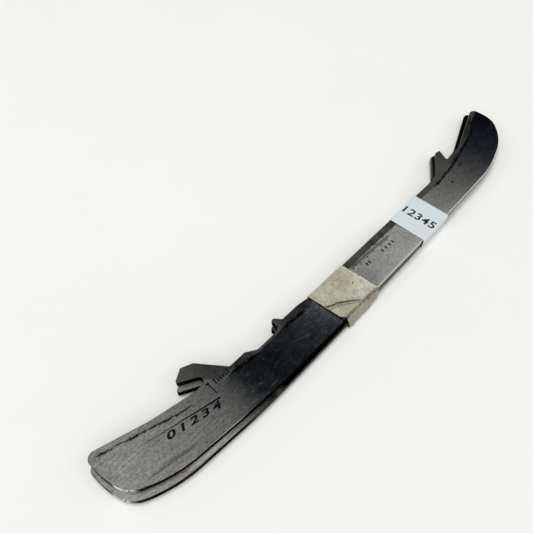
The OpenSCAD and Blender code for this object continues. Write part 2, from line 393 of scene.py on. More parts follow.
def steel_face(look, name, place=DATUM, turn=0.0, under=False):
    """Ground steel, with the holder's stained strip, dirt line, rust, scratches and smears."""
    material, shader, start = new_material(name)
    at = millimetres(start, place, turn)
    x, y, _ = split(at)
    grit = blotch(at, 1.5, 2.0, 0.75)
    speckle = blotch(at, 0.8, 3.0, 0.65)
    cloud = blotch(at, 0.25, 2.0, 0.6)
    patch = blotch(at, 0.07, 3.0, 0.55)
    grain = blotch(join(x * 0.09, y * 1.3 + x * 0.04, 0), 1.0, 3.0, 0.75)
    fine = blotch(at, 2.8, 2.0, 0.8)
    rising = blotch(join(x * 0.05, y * 0.24 + x * 0.035, 9.0), 1.0, 2.0, 0.5)
    falling = blotch(join(x * 0.06, y * 0.2 - x * 0.02, 15.0), 1.0, 2.0, 0.5)

    # The stained strip and the broken dirt line along its border
    wander = blotch(join(x * 0.35, 4.0, 0), 1.0, 3.0, 0.7) - 0.5
    border = strip_curve(x, BORDER, *STRIP_Y) + wander * 0.9
    strength = strip_curve(x, DIRT, 0, 2)
    covered = strip_curve(x, STAINED, 0, 1)
    above = y - border
    claw = y - 6 + ease(x, -88, -83) * 5.2
    hook = ease(claw, -1.0, 1.5) * within(x, -102, -99, -76, -70) * 0.95
    strip = either(ease(above, -0.25, 0.35) * covered, hook)
    broken = blotch(join(x * 0.5, y * 0.9, 7.0), 1.0, 3.0, 0.75) + (grit - 0.5) * 0.5
    width = strength * (0.1 + (broken - 0.42) * 2.6)
    line = ease(abs(above) - width, 0.14, -0.14) * ease(strength, 0.05, 0.4) * 0.96
    halo = ease(abs(above), 1.6, 0.2) * strength * 0.2
    sooted = 1 - ease(above, 2.6, 0.5) * within(x, 88, 94, 100, 114) * 0.6
    stain = strip_curve(x, BRIGHT, 0, 2) * (0.5 + (speckle - 0.5) * 0.4) * sooted
    stain = mix(stain, BLACK, [2 * c for c in look.stain])

    # Marks of wear
    rust = most(spot(x, y, *row) for row in RUST_SPOTS) * ease(blotch(at, 0.9, 3.0, 0.7), 0.32, 0.48)
    scratch = most(streak(x, y, *row) for row in SCRATCHES)
    smear = most(streak(x, y, *row) for row in SMEARS)
    scuff = most(streak(x, y, *row) for row in SCUFFS)
    film = ease(cloud, 0.4, 0.62) * spot(x, y, *FILM)
    from_rocker = x - (ROCKER_X - DATUM.x) / MM
    edge_in = y - from_rocker * from_rocker / (2 * ROCKER_R / MM) - (UPPER_LOW.y - DATUM.y) / MM
    polish = ease(edge_in, 4.5, 0.4) * (0.3 + (grain - 0.5) * 0.8) + ease(edge_in, 0.9, 0.3) * 0.5
    polish = polish * within(x, -12, -4, 50, 100)
    dusty = within(x, -66, -50, -34, -24) * (0.7 + ease(edge_in, 6.5, 1.0) * 0.7)
    dusty = dusty + within(x, 90, 104, 112, 136)
    dust = ease(grit + (fine - 0.5) * 0.8, 0.5, 0.68) * (0.15 + ease(cloud, 0.4, 0.64) * 1.1) * dusty
    hair = either(ease(abs(rising - 0.5), 0.012, 0.003), ease(abs(falling - 0.5), 0.01, 0.002))
    hair = hair * ease(grain, 0.42, 0.58) * ease(patch, 0.44, 0.6)

    # The ground steel itself, uneven at several scales and coarser towards the toe
    front = ease(x, -70, -95)
    heel = ease(x, 74, 108)
    tone = 0.86 + (grit - 0.5) * (1.1 + front * 0.2) + (fine - 0.5) * (0.5 + front * 0.4)
    tone = tone + (speckle - 0.5) * 1.0 + (patch - 0.5) * 0.4 + (grain - 0.5) * (0.55 + front * 0.5)
    tone = tone * (1 - heel * ease(cloud, 0.38, 0.66) * 0.42) * (1 - halo)
    tone = tone * (1 - scuff * ease(speckle + (cloud - 0.5) * 0.6, 0.36, 0.56) * 0.55)
    base = mix(tone * TONE_SHARE, BLACK, [c / TONE_SHARE for c in look.steel])
    base = mix(smear * 0.6, base, (0.1, 0.1, 0.105))
    base = mix(either(scratch * 0.4, polish), base, (0.85, 0.85, 0.83))
    base = mix(strip * (0.97 + (cloud - 0.6) * 0.25), base, stain)
    base = mix(rust, base, look.rust)
    # The dirt line, the pit, and the gum with its painted shadow along the tape's front edge
    base = mix(most([line, spot(x, y, *PIT), streak(x, y, *GUM_AND_SHADOW) * 0.9]), base, look.dirt_and_shade)
    base = mix(film * 0.7, base, (0.3, 0.23, 0.12))
    metal = 1 - strip * (1 - line) * 0.35 - rust * 0.6 - film * 0.018 - dust * 0.024 - hair * 0.02
    rough = look.gloss + ease(cloud, 0.4, 0.75) * 0.04 + (speckle - 0.5) * 0.05 + strip * 0.06
    rough = rough + rust * 0.3 + scratch * 0.09 + hair * 0.08
    if under:
        # The lower face: dull at the toe, painted shade by the upper ice edge, painted dark reflection at
        # the heel
        # Painted shade: the lower face beside the upper ice edge is painted black
        sill_shade = ease(edge_in, 3.4, 2.6) * within(x, -74, -64, -30, -20)
        toe = ease(x, -64, -72) * (1 - ease(y, 0, 4) * ease(x, -107, -102) * 0.62)
        # Painted light: the toe strip is made lighter along x and towards the upper ice wall, where that
        # wall shades it
        dull = (0.5 + ease(x, -118, -102) * 0.95) * (ease(x, -68, -90) * 0.45 + ease(x, -84, -108) * 0.55)
        dull = dull * (1 + ease(edge_in, 1.4, 3.4) * 1.1)
        # Painted shade and dark reflection: the stained strip along the heel is a black mirror, except at
        # the prong
        rear = ease(x, 40, 70) * (1 - within(x, 76, 82, 92, 98))
        base = mix(toe, base, mix(tone * dull * 0.6, BLACK, (0.58, 0.58, 0.56)))
        base = mix(sill_shade * 0.97, base, look.dirt_and_shade)
        base = mix(strip * rear * 0.6, base, BLACK)
        # Painted shade in black along the upper prong's flank
        base = mix(streak(x, y, *PRONG_SHADE) * 0.95, base, look.dirt_and_shade)
        metal = most([metal * (1 - toe * 0.65), rear, sill_shade])
    feed(
        shader,
        Base_Color=base,
        Metallic=metal,
        Roughness=rough,
        Normal=relief(grain * 0.4 + grit * 0.6, 0.004 * MM),
        Specular_IOR_Level=0.2,
    )
    return material


def steel_edge(look, name):
    """The cut walls: near-black on the toe half, rusty at the toe, ground bright on the heel half, with
    painted shade.
    """
    material, shader, start = new_material(name)
    at = millimetres(start)
    x, y, z = split(at)
    lines = blotch(join(x * 0.25, 2.0, z * 3.0), 1.0, 3.0, 0.6)
    patch = blotch(at, 0.16, 3.0, 0.6)
    fine = blotch(at, 0.9, 3.0, 0.65)
    ice = ease(y - strip_curve(x, BORDER, *STRIP_Y), 0.5, -1.5)
    rear = ice * ease(x, -26, -8)
    # Painted shade on the ground walls: darker at the seam between the runners and down the lower runner's
    # wall
    seam_shade = 1 - ease(abs(z - SEAM), 0.5, 0.15) * 0.92
    upper = ease(z, SEAM - 0.2, FACE - 0.8)
    level = upper * 0.95 + (1 - upper) * (0.35 + ease(x, 22, 8) * 0.3)
    ground = rear * ease(x, 120, 96) * seam_shade * level
    sooty = ice * ease(z, SEAM, SEAM - 0.3) * within(x, -92, -80, -30, -20)
    toe_arris = ice * within(x, -130, -122, -92, -84) * 0.45
    arris = ease(z, FACE - 0.4, FACE - 0.2) * either(rear, toe_arris)
    rust = ease(x, -85, -120) * ease(patch, 0.42, 0.6) * 0.7
    # Worn steel round the toe, and a painted highlight at its tip
    worn = either(spot(x, y, *TOE_WORN) * ease(fine, 0.42, 0.54), spot(x, y, *TOE_HIGHLIGHT))
    base = mix(ground * (0.85 + (lines - 0.5) * 0.9), look.dark_wall, look.ground)
    base = mix(sooty * (0.6 + fine * 0.6), base, (0.075, 0.067, 0.052))
    base = mix(arris * 0.95, base, (0.9, 0.9, 0.88))
    base = mix(rust, base, (0.035, 0.016, 0.009))
    base = mix(worn * 0.9, base, (0.85, 0.81, 0.73))
    feed(
        shader,
        Base_Color=base,
        Metallic=either(ground, arris),
        Roughness=0.34 + (lines - 0.5) * 0.2 + rust * 0.3,
        Normal=relief(lines, 0.005 * MM),
        Specular_IOR_Level=0.0,
    )
    return material


def boot_wall(look, name):
    """The walls towards the boot: dark, dull steel with brown patches, with painted shade before the upper
    prong.
    """
    material, shader, start = new_material(name)
    at = millimetres(start)
    x, _, z = split(at)
    lines = blotch(join(x * 0.25, 2.0, z * 3.0), 1.0, 3.0, 0.6)
    patch = blotch(at, 0.2, 3.0, 0.65)
    fine = blotch(at, 1.2, 3.0, 0.65)
    base = mix(0.45 + (lines - 0.5) * 0.8 + (fine - 0.5) * 0.6, look.dirt_and_shade, (0.3, 0.3, 0.29))
    brown = ease(patch, 0.48, 0.66)
    base = mix(brown * 0.7, base, (0.07, 0.04, 0.022))
    # Painted shade: the upper runner's wall before its prong is painted black and made not metal
    prong_wall_shade = within(x, 74, 79, 91.5, 94) * ease(z, SEAM - 0.1, SEAM + 0.1) * 0.9
    base = mix(prong_wall_shade, base, look.dirt_and_shade)
    lip = ease(z, FACE - 0.4, FACE - 0.2) * ease(x, 66, 76) * (1 - prong_wall_shade)
    base = mix(lip, base, (0.09, 0.09, 0.082))
    feed(
        shader,
        Base_Color=base,
        Metallic=(1 - brown * 0.6) * (1 - lip) * (1 - prong_wall_shade),
        Roughness=0.38 + (fine - 0.5) * 0.2 + brown * 0.25,
        Normal=relief(lines + fine * 0.5, 0.006 * MM),
    )
    return material


def grid(columns, rows, half=0.5):
    """A bmesh of a flat square grid."""
    bm = bmesh.new()
    bmesh.ops.create_grid(bm, x_segments=columns, y_segments=rows, size=half)
    return bm


def add_object(name, data):
    """A new object in the scene."""
    made = bpy.data.objects.new(name, data)
    bpy.context.scene.collection.objects.link(made)
    return made


def object_from(bm, name, materials):
    """Turns a bmesh into an object with these materials."""
    mesh = bpy.data.meshes.new(name)
    bm.to_mesh(mesh)
    bm.free()
    for material in materials:
        mesh.materials.append(material)
    return add_object(name, mesh)


def piece_from(bm, name, materials, replaced=None):
    """Turns a bmesh into a piece on the one body, and hides the imported part that it replaces."""
    piece = object_from(bm, name, materials)
    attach(piece, "root")
    if replaced:
        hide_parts(replaced)
    return piece


def is_wall(face):
    """True for a face of the plate's rim."""
    return abs(face.normal.z) < 0.5


def is_ice_wall(face):
    """True for a face of the rim that meets the ice."""
    return is_wall(face) and face.normal.y < -0.3 and face.calc_center_median().y < -4 * MM


def grind_hollow(bm, low, high, depth):
    """Cuts the ice edge's wall into bands and sinks them to a shallow hollow across its width."""
    for share in (0.2, 0.4, 0.6, 0.8):
        ice = [f for f in bm.faces if is_ice_wall(f)]
        geom = set(ice)
        for face in ice:
            geom.update(face.edges)
            geom.update(face.verts)
        level = low + (high - low) * share
        bmesh.ops.bisect_plane(bm, geom=list(geom), dist=1e-7, plane_co=(0, 0, level), plane_no=(0, 0, 1))
    bm.normal_update()
    moves = []
    for vert in bm.verts:
        share = (vert.co.z - low) / (high - low)
        if 0.1 < share < 0.9:
            out = sum((f.normal for f in vert.link_faces), Vector()).normalized()
            facing = min(1.0, max(0.0, (-out.y - 0.4) / 0.4))
            moves.append((vert, -out * depth * facing * (1 - (2 * share - 1) ** 2)))
    for vert, move in moves:
        vert.co += move


def ground_runner(look, node, name, materials):
    """A copy of a packed runner, merged, hollow ground and eased round its edges."""
    bm = bmesh.new()
    bm.from_mesh(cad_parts[node].data)
    bmesh.ops.remove_doubles(bm, verts=bm.verts, dist=1e-6)
    bmesh.ops.dissolve_limit(bm, angle_limit=0.0005, verts=bm.verts, edges=bm.edges)
    low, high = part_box(node)
    grind_hollow(bm, low.z, high.z, look.hollow_depth)
    bm.normal_update()
    rim = [e for e in bm.edges if len(e.link_faces) == 2 and sum(map(is_wall, e.link_faces)) == 1]
    bmesh.ops.bevel(bm, geom=rim, offset=look.edge_round, offset_type="OFFSET", affect="EDGES", segments=2,
                    profile=0.5, material=-1, clamp_overlap=True)
    bm.normal_update()
    for f in bm.faces:
        flat = abs(f.normal.z) > 0.9999
        f.material_index = 0 if flat else 2 if f.normal.y > 0.25 else 1
        f.smooth = not flat
    piece_from(bm, name, materials, node)


class SKATE_OT_runners(bpy.types.Operator):
    """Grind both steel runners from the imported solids"""

    bl_idname = "skate.runners"
    bl_label = "Grind the runners"

    def execute(self, context):
        look = context.scene.skate_runner
        walls = [steel_edge(look, "ice_edge_steel"), boot_wall(look, "boot_edge_steel")]
        upper = steel_face(look, "upper_steel")
        turned = Matrix.Rotation(TURN, 4, "Z") @ (PIVOT - DATUM)
        lower = steel_face(look, "lower_steel", PIVOT + SLIP - turned, TURN, under=True)
        ground_runner(look, "upper_runner", "upper_runner_steel", [upper, *walls])
        ground_runner(look, "lower_runner", "lower_runner_steel", [lower, *walls])
        return {"FINISHED"}


def plate(bm, corners, thick):
    """A flat plate of these corners in millimetres on the upper face, of this thickness."""
    ring = [bm.verts.new((DATUM.x + p[0] * MM, DATUM.y + p[1] * MM, FACE_Z - thick)) for p in corners]
    face = bm.faces.new(ring)
    face.normal_update()
    if face.normal.z > 0:
        face.normal_flip()
    made = bmesh.ops.extrude_face_region(bm, geom=[face])["geom"]
    tops = [g for g in made if isinstance(g, bmesh.types.BMVert)]
    bmesh.ops.translate(bm, verts=tops, vec=(0, 0, 2 * thick))


def bar(bm, start, end, width, end_width, thick):
    """A straight bar in millimetres, of one width at each end."""
    a = Vector(start)
    b = Vector(end)
    side = Vector((a.y - b.y, b.x - a.x)).normalized() / 2
    plate(bm, [a + side * width, a - side * width, b - side * end_width, b + side * end_width], thick)


def digits_mesh(body, size, slant, spacing, weight, thick):
    """Plain digits as a solid mesh, centred on the origin and read along +X."""
    curve = bpy.data.curves.new("digits", "FONT")
    curve.body = body
    curve.size = size
    curve.shear = slant
    curve.space_character = spacing
    curve.offset = weight
    curve.extrude = thick
    curve.resolution_u = 6
    curve.align_x = "CENTER"
    curve.align_y = "CENTER"
    holder = add_object("digits", curve)
    bpy.context.view_layer.update()
    evaluated = holder.evaluated_get(bpy.context.evaluated_depsgraph_get())
    mesh = bpy.data.meshes.new_from_object(evaluated)
    bpy.data.objects.remove(holder)
    bpy.data.curves.remove(curve)
    return mesh


def add_digits(bm, mesh, middle, turn, wide):
    """Puts a digits mesh into a bmesh, widened, turned and moved to its middle."""
    spread = Matrix.Diagonal((wide, 1.0, 1.0, 1.0))
    mesh.transform(Matrix.Translation(middle) @ Matrix.Rotation(turn, 4, "Z") @ spread)
    bm.from_mesh(mesh)
    bpy.data.meshes.remove(mesh)


def close_up(bm):
    """Merges the corners that meet and turns all faces outward."""
    bmesh.ops.remove_doubles(bm, verts=bm.verts, dist=1e-7)
    bmesh.ops.recalc_face_normals(bm, faces=bm.faces)


def etched_film(look):
    """A dark, slightly worn etched film."""
    material, shader, start = new_material("etched_film")
    at = millimetres(start)
    worn = blotch(at, 1.6, 3.0, 0.7)
    feed(
        shader,
        Base_Color=mix(ease(worn, 0.55, 0.9) * 0.5, look.etch, (0.02, 0.02, 0.021)),
        Roughness=0.5 + (worn - 0.5) * 0.3,
        Specular_IOR_Level=0.1,
    )
    return material


# The etched marks in millimetres: the tapered line with its numbers, the pointer with its stem, the row
# of short ticks beside it, and the fine rule behind the tape with the dashes below it
SCALE_LINE = ((-123.0, 4.4), (-88.5, -3.65))
NUMBERS_AT = Vector((-102.0, -3.0, 0)) * MM
NUMBERS_TURN = math.radians(-12.6)
NUMBERS_WIDE = 1.75
POINTER = [(-89.2, 4.6), (-87.2, 4.4), (-88.1, 2.9)]
STEM = ((-88.1, 3.2), (-88.1, -1.6))
DASHES = (3.9, 5.6, 15.4, 18.2, 20.9, 23.3)
# A row: how many, the first's place, the way to the next, their lean, width and height, and how tall
# every fifth is and how much lower it starts
TICKS = (6, (-85.4, 1.5), (1.35, -0.07), 0.2, 0.6, 1.6, 2.5, 0)
RULE = (28, (-2.6, -3.2), (1, -0.045), 0, 0.55, 1.4, 2.4, 0.8)


def tick_row(bm, thick, count, first, pitch, lean, width, short, tall, drop):
    """A row of ticks in millimetres, every fifth one taller."""
    for i in range(count):
        fifth = i % 5 == 0
        place = first[0] + i * pitch[0]
        low = first[1] + i * pitch[1] - (drop if fifth else 0)
        high = low + (tall if fifth else short)
        bar(bm, (place, low), (place + lean, high), width, width, thick)


class SKATE_OT_marks(bpy.types.Operator):
    """Etch the plain scale, the pointer and the fine rule on the upper face"""

    bl_idname = "skate.marks"
    bl_label = "Etch the marks"

    def execute(self, context):
        look = context.scene.skate_mark
        thick = look.depth / 2
        bm = bmesh.new()
        bar(bm, *SCALE_LINE, 0.12, 0.8, thick)
        numbers = digits_mesh(look.numbers, size=4.2 * MM, slant=0.2, spacing=1.36, weight=0.12 * MM,
                              thick=thick)
        middle = DATUM + NUMBERS_AT + Vector((0, 0, FACE_Z))
        add_digits(bm, numbers, middle, NUMBERS_TURN, NUMBERS_WIDE)
        plate(bm, POINTER, thick)
        bar(bm, *STEM, 0.42, 0.42, thick)
        tick_row(bm, thick, *TICKS)
        tick_row(bm, thick, *RULE)
        for place in DASHES:
            low = -7.3 - (place - 4) * 0.04
            bar(bm, (place, low), (place + 0.15, low + 1.6), 0.85, 0.85, thick)
        close_up(bm)
        piece_from(bm, "etched_marks", [etched_film(look)])
        return {"FINISHED"}


def ice_line(x):
    """The upper runner's ice edge at this place along it."""
    return UPPER_LOW.y + (x - ROCKER_X) ** 2 / (2 * ROCKER_R)


def lower_shift(x):
    """How far the lower runner lies towards the boot here."""
    return (x - PIVOT.x - SLIP.x) * math.tan(TURN)


def hull(x):
    """Corners (y, z) of the stack's cross section, from the ice underside by the boot over the top."""
    shift = lower_shift(x)
    upper_ice = ice_line(x)
    lower_ice = ice_line(x - SLIP.x) + shift
    lower_boot = BOOT_Y + shift
    return [
        Vector((lower_ice, UNDER_Z)),
        Vector((lower_boot, UNDER_Z)),
        Vector((max(BOOT_Y, lower_boot), SEAM_Z)),
        Vector((BOOT_Y, FACE_Z)),
        Vector((upper_ice, FACE_Z)),
        Vector((min(upper_ice, lower_ice), SEAM_Z)),
    ]


# A corner turned by less than this, in radians, stays sharp. A rounding takes up to this share of a run
STRAIGHT = 0.02
ROUND_SHARE = 0.45


class Wrap:
    """A line of rounded corners that a strip follows, with its length so far at each point."""

    def __init__(self, corners, radius, steps=5):
        points = [corners[0]]
        for before, corner, after in zip(corners, corners[1:], corners[2:]):
            into = (before - corner).normalized()
            away = (after - corner).normalized()
            half = into.angle(away) / 2
            if half > math.pi / 2 - STRAIGHT:
                points.append(corner)
                continue
            room = ROUND_SHARE * min((before - corner).length, (after - corner).length)
            reach = min(radius / math.tan(half), room)
            a = corner + into * reach
            b = corner + away * reach
            for i in range(steps + 1):
                t = i / steps
                points.append(a.lerp(corner, t).lerp(corner.lerp(b, t), t))
        points.append(corners[-1])
        self.points = points
        self.sofar = [0.0]
        for a, b in zip(points, points[1:]):
            self.sofar.append(self.sofar[-1] + (b - a).length)
        self.total = self.sofar[-1]

    def at(self, s):
        """The point at this length along the line, and the way out from the stack there."""
        s = min(max(s, 0.0), self.total)
        i = 0
        while i < len(self.points) - 2 and self.sofar[i + 1] < s:
            i += 1
        a = self.points[i]
        b = self.points[i + 1]
        run = self.sofar[i + 1] - self.sofar[i]
        t = (s - self.sofar[i]) / run if run > 0 else 0
        way = self.out(i) * (1 - t) + self.out(i + 1) * t
        return a.lerp(b, t), way.normalized()

    def out(self, i):
        """The way out at a point: across the two runs that meet there."""
        a = self.points[max(i - 1, 0)]
        b = self.points[min(i + 1, len(self.points) - 1)]
        run = (b - a).normalized()
        return Vector((run.y, -run.x))


def step(value, low, high):
    """0 below low, 1 above high, smooth between."""
    t = min(1.0, max(0.0, (value - low) / (high - low)))
    return t * t * (3 - 2 * t)


def ripple(x, y, z, dimension, octaves):
    """Rough noise round 0 at a place."""
    return noise.fractal(Vector((x, y, z)), dimension, 2.0, octaves)


def between(value, table):
    """A value from a table of pairs, straight between them."""
    for (a, va), (b, vb) in zip(table, table[1:]):
        if value <= b:
            t = min(1.0, max(0.0, (value - a) / (b - a)))
            return va + (vb - va) * t
    return table[-1][1]


# Where the tape's outer end is torn off: x along the runner, y across it, in millimetres
TEAR = [(-28.4, -8.2), (-26.1, -9.3), (-23.4, -10.3), (-20.9, -12.2), (-18.4, -13.9), (-16.6, -15.4),
        (-15.4, -16.8), (-14.0, -18.0), (-11.5, -18.4), (-8.5, -18.9), (-4.0, -19.6)]
# How far the tape hangs slack beside the ice edge, from its front edge to its rear: x and reach
SLACK = [(-28.3, 1.2), (-16.0, 1.2), (-8.0, 1.0), (-4.3, 0.65)]
# Dirt and discoloured patches on the tape's top, in millimetres: place and radius
TAPE_SPECKS = [((-16.7, -2.2), 0.5), ((-21.7, -4.6), 0.4), ((-20.5, 2.0), 0.5), ((-12.6, -4.1), 0.3)]
TAPE_DASH = ((-10.3, -8.7), (-8.6, -7.8), 0.4, 0.3)
PINK = ((-12.5, -3.5), 8.0)
GREEN = ((-21.5, -14.5), 6.5)
CLEAN = ((-7.5, -12.5), 7.0)
# Threads along and across the tape, in millimetres
WEAVE = (0.62, 0.5)
TAPE_STEPS = (54, 210)
TAPE_CORNER = 0.36 * MM
TAPE_START = Vector((0.8 * MM, 0))


def cloth_tape(look):
    """Old cloth tape: mottled beige weave, grimy along its torn end and edges, with a few specks and
    painted shade.
    """
    material, shader, start = new_material("cloth_tape")
    at = millimetres(start)
    x, y, z = split(at)
    thread = start.node("ShaderNodeUVMap", {"uv_map": "cloth"})
    u, v, _ = split(thread)
    weave = u.math("SINE", u * (math.tau / WEAVE[0])) * v.math("SINE", v * (math.tau / WEAVE[1]))
    patch = blotch(at, 0.24, 3.0, 0.6)
    tint = blotch(at, 0.36, 2.0, 0.5)
    mould = blotch(join(x, y, z + 40), 0.3, 3.0, 0.6)
    fine = blotch(at, 1.5, 3.0, 0.7)
    grain = blotch(at, 3.0, 2.0, 0.7)
    rim = start.node("ShaderNodeAttribute", {"attribute_name": "rim"}, out="Fac")
    speck = ease(blotch(at, 0.85, 1.0, 0.4), 0.73, 0.78)
    dropped = either(most(spot(x, y, *row) for row in TAPE_SPECKS), streak(x, y, *TAPE_DASH))
    speck = either(speck, dropped * ease(z, 6.2, 6.8))
    pink = either(ease(tint, 0.5, 0.7) * 0.5, spot(x, y, *PINK) * ease(tint, 0.36, 0.56) * 0.8)
    green = either(ease(mould, 0.5, 0.68) * 0.5, spot(x, y, *GREEN) * ease(mould, 0.3, 0.5) * 0.6)
    base = mix(ease(patch, 0.34, 0.62), look.cloth, look.pale)
    base = mix(spot(x, y, *CLEAN) * 0.8, base, (0.64, 0.635, 0.52))
    base = mix(pink, base, (0.4, 0.32, 0.24))
    base = mix(green, base, (0.32, 0.335, 0.25))
    base = mix(ease(u, 22.6, 23.8) * 0.55, base, (0.68, 0.69, 0.6))
    base = mix((fine - 0.5) * 1.9 + (grain - 0.5) * 2.2 + 0.08, base, (0.12, 0.105, 0.075))
    # Painted shade: darker down the sides and towards the underside
    base = mix(ease(z, 6.3, 4.6) * 0.62 + ease(z, 2.0, 0.6) * 0.2, base, (0.22, 0.197, 0.155))
    # Dirt along the torn end and the fold, and painted shadow with grime on the layer below the torn end
    base = mix(rim * (0.35 + ease(fine + (tint - 0.5) * 0.8, 0.32, 0.5) * 0.65), base, look.soil_and_shade)
    base = mix(speck * 0.85, base, look.soil_and_shade)
    feed(
        shader,
        Base_Color=base,
        Roughness=0.78 + (fine - 0.5) * 0.15,
        Normal=relief(weave * 0.35 + fine * 0.6, 0.09 * MM),
        Sheen_Weight=0.15,
        Sheen_Roughness=0.5,
    )
    return material


def thicken(piece, name, thick):
    """Gives a sheet its thickness, half to each side."""
    solid = piece.modifiers.new(name, "SOLIDIFY")
    solid.thickness = thick
    solid.offset = 0.0


class SKATE_OT_tape(bpy.types.Operator):
    """Wind the cloth tape round both runners, with its torn end on top"""

    bl_idname = "skate.tape"
    bl_label = "Wind the tape"

    def execute(self, context):
        look = context.scene.skate_tape
        width = TAPE_HIGH.x - TAPE_LOW.x
        bm = grid(*TAPE_STEPS)
        thread = bm.loops.layers.uv.new("cloth")
        rim = bm.verts.layers.float.new("rim")
        wraps = {}
        ends = {}
        threads = {}
        for vert in bm.verts:
            column = round((vert.co.x + 0.5) * TAPE_STEPS[0])
            across = column / TAPE_STEPS[0]
            along = vert.co.y + 0.5
            x = TAPE_LOW.x + across * width
            place = (x - DATUM.x) / MM
            if column not in wraps:
                under_ice, *rest = hull(x)
                first = under_ice + TAPE_START
                corners = [first, *rest, under_ice, *rest, under_ice]
                wraps[column] = Wrap(corners, TAPE_CORNER)
                turn = Wrap([first, *rest, under_ice], TAPE_CORNER).total
                top = Wrap([first, *rest, under_ice, *rest[:3]], TAPE_CORNER).total
                jag = ripple(place * 0.7, 3.0, 0, 0.6, 4) * 0.7
                tear = between(place, TEAR) + jag
                ends[column] = (turn, top + BOOT_Y - DATUM.y - tear * MM)
            turn, end = ends[column]
            s = along * end
            wound = s / MM
            left = (end - s) / MM
            edge = min(across, 1 - across) * width / MM
            at, out = wraps[column].at(s)
            second = step(s, turn - 0.5 * MM, turn + 1.2 * MM)
            raised = max(0.0, out.y)

            # How far the layer stands off the steel: wrinkles, the lifted torn end and the frayed edges
            ruck = ripple(place * 0.28, wound * 0.22, 1.5, 0.9, 3) * look.wrinkle * second * raised
            curl = look.lift * step(left, 3.2, 0.0) * (0.35 + 0.65 * step(place, -12, -24)) * second
            fray = 0.12 * MM * step(edge, 1.2, 0.0) * second * raised
            layer = look.gap + look.thick * (0.5 + second * 1.03)
            off = layer + max(ruck, -0.3 * look.thick) + curl + fray

            # How far it is pulled askew, hangs slack beside the ice edge and is ragged at its edges
            down = min(1.0, max(0.0, (BOOT_Y - at.x) / (BOOT_Y - UPPER_LOW.y)))
            pull = 0.5 * down + 1.5 * step(down, 0.82, 1.0)
            skew = (1.4 * down - 0.75) * MM + pull * MM * (1 - across)
            loose = step(at.y, 5.8 * MM, 1.4 * MM) * (1 - step(at.x, UPPER_LOW.y, UPPER_LOW.y + 5 * MM))
            fold = noise.noise(Vector((place * 0.45, at.y / MM * 0.35, 8.0))) * 0.3
            slack = between(place, SLACK) * MM * loose * (1 + fold)
            ragged = ripple(wound * 0.6, across * 9, 4.0, 0.8, 3) * (0.3 + 0.25 * across) * MM
            ragged = ragged * step(edge, 2.0, 0.0)

            # Where dirt gathers: along the torn end and the fold at the ice edge; below it, painted shadow
            # and grime
            spread = noise.noise(Vector((place * 0.55, 2.0, 5.0)))
            smudge = 1.0 + 1.2 * spread + 0.5 * step(place, -18, -24)
            torn = step(left, smudge, 0.25) * (0.5 + 0.5 * step(place, -14.5, -18))
            below = (end - s - (turn if s < turn else 0)) / MM
            shade = step(at.y, 6.3 * MM, 6.5 * MM) * step(below, -1.7, -0.3) * step(below, 0.4, 0.0)
            shade = shade * (1 - second) * 0.5
            crease = step(at.x, ice_line(x) + 1.0 * MM, ice_line(x) + 0.3 * MM)
            crease = crease * step(at.y, 5.5 * MM, 6.1 * MM) * 0.85
            vert[rim] = max(torn, shade, crease)
            threads[vert] = (across * width / MM, wound)
            vert.co = Vector((x + skew + ragged, at.x + out.x * off - slack, at.y + out.y * off))
        for face in bm.faces:
            face.smooth = True
            for loop in face.loops:
                loop[thread].uv = threads[loop.vert]
        bmesh.ops.recalc_face_normals(bm, faces=bm.faces)
        tape = piece_from(bm, "cloth_tape_band", [cloth_tape(look)], "tape_band")
        thicken(tape, "layer", look.thick)
        soft = tape.modifiers.new("soft", "SUBSURF")
        soft.levels = 1
        soft.render_levels = 1
        middle = sum(end for _, end in ends.values()) / len(ends)
        width * middle
        return {"FINISHED"}


def label_paper(look):
    """Smooth white label paper with a faint fibre, and painted shade that greys its folds."""
    material, shader, start = new_material("label_paper")
    at = millimetres(start)
    _, _, z = split(at)
    fibre = blotch(at, 3.0, 3.0, 0.7)
    cloud = blotch(at, 0.15, 2.0, 0.5)
    # Painted shade: the paper turns slightly grey down the folded sides
    fold = ease(z, FACE + 0.05, FACE - 0.6)
    base = mix((fibre - 0.5) * 0.22 + (cloud - 0.5) * 0.2 + 0.1, look.paper, (0.58, 0.62, 0.68))
    base = mix(fold * 0.25, base, (0.6, 0.6, 0.6))
    feed(
        shader,
        Base_Color=base,
        Roughness=0.5 + (fibre - 0.5) * 0.2,
        Normal=relief(fibre, 0.012 * MM),
    )
    return material


def label_ink(look):
    """Printed black, a little uneven."""
    material, shader, start = new_material("label_ink")
    at = millimetres(start)
    uneven = blotch(at, 2.5, 2.0, 0.6)
    feed(
        shader,
        Base_Color=mix(ease(uneven, 0.5, 0.85) * 0.5, look.ink, (0.05, 0.05, 0.06)),
        Roughness=0.42 + (uneven - 0.5) * 0.2,
    )
    return material


LABEL_STEPS = (30, 110)
LABEL_CORNER = 0.55 * MM
LABEL_GAP = 0.06 * MM
DIGITS_AT = Vector((45.0, -7.7, 0)) * MM
DIGITS_TURN = math.radians(-90)
DIGITS_WIDE = 1.16
DIGITS_OFF = 0.17 * MM


